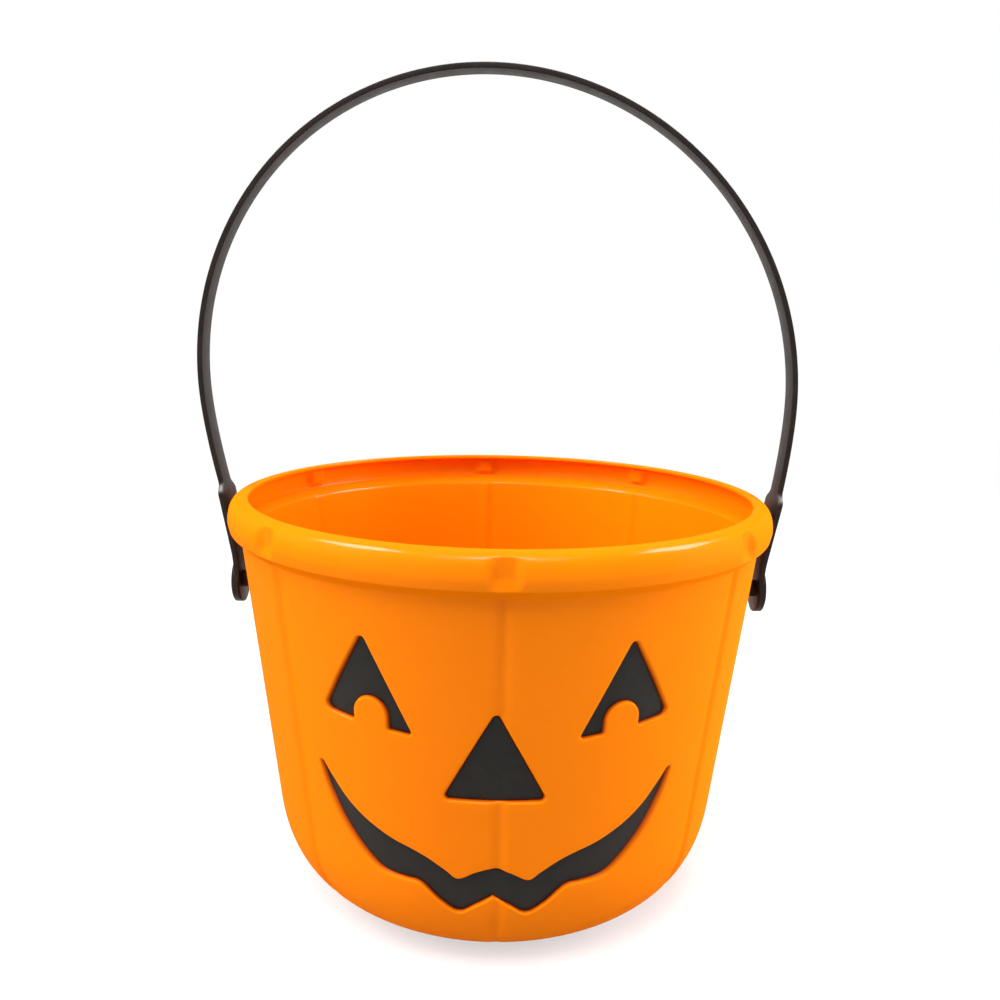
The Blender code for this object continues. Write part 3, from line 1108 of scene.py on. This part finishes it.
def orange_plastic():
    # Flow marks run down the wall, and painted shade darkens the recess walls towards their floors
    material, shader = new_material("orange_plastic", orange_base, 0.28)
    flow = noise(material, 14.0, 3.0, 0.5, (1.0, 1.0, 0.25))
    colour = mixed_colour(material, flow, orange_low, orange_high)
    # Painted shade: the recess walls turn dark red by how far each point is sunk towards the floor
    sunk = add_node(material, "ShaderNodeAttribute", attribute_name="sunk").outputs["Fac"]
    recess_shaded = mixed_colour(material, sunk, colour, recess_shade_colour, recess_shade_start, recess_shade_full)
    roughness = ramp(material, noise(material, 60.0, 4.0, 0.6), 0.24, 0.33)
    shader.inputs["Coat Weight"].default_value = coat_weight
    shader.inputs["Coat IOR"].default_value = coat_index
    shader.inputs["Coat Roughness"].default_value = coat_roughness
    waves = noise(material, 90.0, 1.0)
    grain = noise(material, 1400.0, 2.0)
    return dress(material, shader, recess_shaded, roughness, 0.0, [(waves, 0.00010), (grain, 0.000006)])


def black_plastic():
    material, shader = new_material("black_plastic", black_base, 0.44)
    rubbed = noise(material, 160.0, 4.0, 0.6)
    colour = mixed_colour(material, rubbed, black_low, black_high)
    roughness = ramp(material, rubbed, 0.38, 0.50)
    grain = noise(material, 1600.0, 3.0)
    waves = noise(material, 120.0, 2.0)
    layers = [(waves, 0.00008), (grain, 0.000010)]
    return dress(material, shader, colour, roughness, dark_specular, layers)


def dark_inlay():
    material, shader = new_material("dark_inlay", inlay_base, 0.42)
    patches = noise(material, 220.0, 3.0, 0.6)
    colour = mixed_colour(material, patches, inlay_low, inlay_high)
    roughness = ramp(material, patches, 0.36, 0.48)
    layers = [(noise(material, 1200.0, 3.0), 0.000012)]
    return dress(material, shader, colour, roughness, dark_specular, layers)


# Floor, light and camera


def seen_rays(owner):
    # 1 for the rays that see the surroundings: camera, glossy and transmission rays
    path = add_node(owner, "ShaderNodeLightPath")
    seen = path.outputs["Is Camera Ray"]
    for name in ("Is Glossy Ray", "Is Transmission Ray"):
        either = add_node(owner, "ShaderNodeMath", operation="MAXIMUM")
        link(owner, seen, either.inputs[0])
        link(owner, path.outputs[name], either.inputs[1])
        seen = either.outputs[0]
    return seen


def make_world():
    world = bpy.data.worlds.new("studio")
    bpy.context.scene.world = world
    world.use_nodes = True
    background = world.node_tree.nodes["Background"]
    background.inputs["Color"].default_value = (1.0, 1.0, 1.0, 1.0)
    strength = add_node(world, "ShaderNodeMapRange")
    strength.inputs["To Min"].default_value = ambient_strength
    strength.inputs["To Max"].default_value = 1.0
    link(world, seen_rays(world), strength.inputs["Value"])
    link(world, strength.outputs["Result"], background.inputs["Strength"])


def make_floor():
    # A pale disc that glows a little for the rays that see it and fades into the white around it
    shell = Shell()
    rings = []
    for radius in (floor_radius, floor_fade_start):
        ring = []
        for segment in range(floor_segments):
            ring.append(shell.add(around(radius, segment * 360.0 / floor_segments, 0.0)))
        rings.append(ring)
    shell.bridge(rings)
    shell.faces.append(tuple(rings[1]))
    material = bpy.data.materials.new("pale_floor")
    material.use_nodes = True
    material.node_tree.nodes.clear()
    diffuse = add_node(material, "ShaderNodeBsdfDiffuse")
    diffuse.inputs["Color"].default_value = (floor_colour, floor_colour, floor_colour, 1.0)
    glow = add_node(material, "ShaderNodeEmission")
    lift = add_node(material, "ShaderNodeMath", operation="MULTIPLY")
    lift.inputs[1].default_value = floor_lift
    link(material, seen_rays(material), lift.inputs[0])
    link(material, lift.outputs[0], glow.inputs["Strength"])
    both = add_node(material, "ShaderNodeAddShader")
    link(material, diffuse.outputs[0], both.inputs[0])
    link(material, glow.outputs[0], both.inputs[1])
    place = add_node(material, "ShaderNodeTexCoord")
    reach = add_node(material, "ShaderNodeVectorMath", operation="LENGTH")
    link(material, place.outputs["Object"], reach.inputs[0])
    fade = add_node(material, "ShaderNodeMapRange", interpolation_type="SMOOTHSTEP")
    fade.inputs["From Min"].default_value = floor_fade_start
    fade.inputs["From Max"].default_value = floor_radius
    link(material, reach.outputs["Value"], fade.inputs["Value"])
    clear = add_node(material, "ShaderNodeBsdfTransparent")
    mixed = add_node(material, "ShaderNodeMixShader")
    link(material, fade.outputs["Result"], mixed.inputs[0])
    link(material, both.outputs[0], mixed.inputs[1])
    link(material, clear.outputs[0], mixed.inputs[2])
    output = add_node(material, "ShaderNodeOutputMaterial")
    link(material, mixed.outputs[0], output.inputs["Surface"])
    floor = make_piece("floor", shell, material)


def add_softbox(name, direction, distance, size, power, lit, mirrored):
    # A lamp that looks at the middle of the rim
    light = bpy.data.lights.new(name, "AREA")
    light.shape = "RECTANGLE"
    light.size, light.size_y = size
    light.energy = power
    lamp = bpy.data.objects.new(name, light)
    bpy.context.scene.collection.objects.link(lamp)
    away = Vector(direction).normalized()
    lamp.location = Vector((0.0, 0.0, pail_height)) + away * distance
    lamp.rotation_mode = "QUATERNION"
    lamp.rotation_quaternion = away.to_track_quat("Z", "Y")
    lamp.visible_diffuse = lit
    lamp.visible_glossy = mirrored


def make_lights():
    # Name, direction, distance, size, power, whether the lamp lights surfaces and whether it shows
    # in their gloss
    wide = (1.1, 0.8)
    square = (1.1, 1.1)
    small = (0.65, 0.5)
    narrow = (0.5, 0.2)
    for lamp in (
        ("key_softbox", (0.0, -0.42, 0.91), 1.5, wide, key_power, True, True),
        ("front_softbox", (0.0, -0.75, 0.66), 1.5, wide, front_power, True, False),
        ("left_softbox", (-0.85, -0.10, 0.50), 1.3, square, left_power, True, False),
        ("left_front_softbox", (-0.70, -0.65, 0.30), 1.5, wide, left_front_power, True, False),
        ("right_softbox", (0.97, 0.10, 0.10), 1.3, square, right_power, True, False),
        ("top_softbox", (0.0, 0.0, 1.0), 1.5, square, top_power, True, False),
        ("sparkle", (0.0, -0.42, 0.91), 1.5, narrow, sparkle_power, False, True),
        ("left_sparkle", (-0.56, 0.05, 0.83), 1.5, small, side_sparkle_power, False, True),
        ("right_sparkle", (0.68, 0.18, 0.72), 1.5, small, side_sparkle_power, False, True),
        ("back_softbox", (0.0, 0.90, 0.45), 1.5, wide, back_power, True, False),
    ):
        add_softbox(*lamp)


def make_camera():
    data = bpy.data.cameras.new("camera")
    data.sensor_width = sensor_width
    data.lens = sensor_width * focal_pixels / photo_pixels
    camera = bpy.data.objects.new("camera", data)
    bpy.context.scene.collection.objects.link(camera)
    tilt = Matrix.Rotation(math.pi / 2 - camera_pitch, 4, "X")
    roll = Matrix.Rotation(camera_roll, 4, "Z")
    camera.matrix_world = Matrix.Translation(camera_place) @ tilt @ roll
    bpy.context.scene.camera = camera


edges_by_name = {
    "left_eye": eye_edges(-1.0),
    "right_eye": eye_edges(1.0),
    "nose": nose_edges(),
    "mouth": mouth_edges(),
}
make_world()
make_floor()
make_lights()
make_camera()
orange = orange_plastic()
black = black_plastic()
dark = dark_inlay()

bucket = make_bucket(edges_by_name, orange)
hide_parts("bucket")
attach(bucket, "bucket")
for name, edges in edges_by_name.items():
    inlay = make_inlay(name, edges, dark)
    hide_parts(name)
    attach(inlay, "bucket")
handle = make_handle(black)
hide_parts("handle")
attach(handle, "handle")

bpy.context.scene.view_settings.view_transform = "Standard"
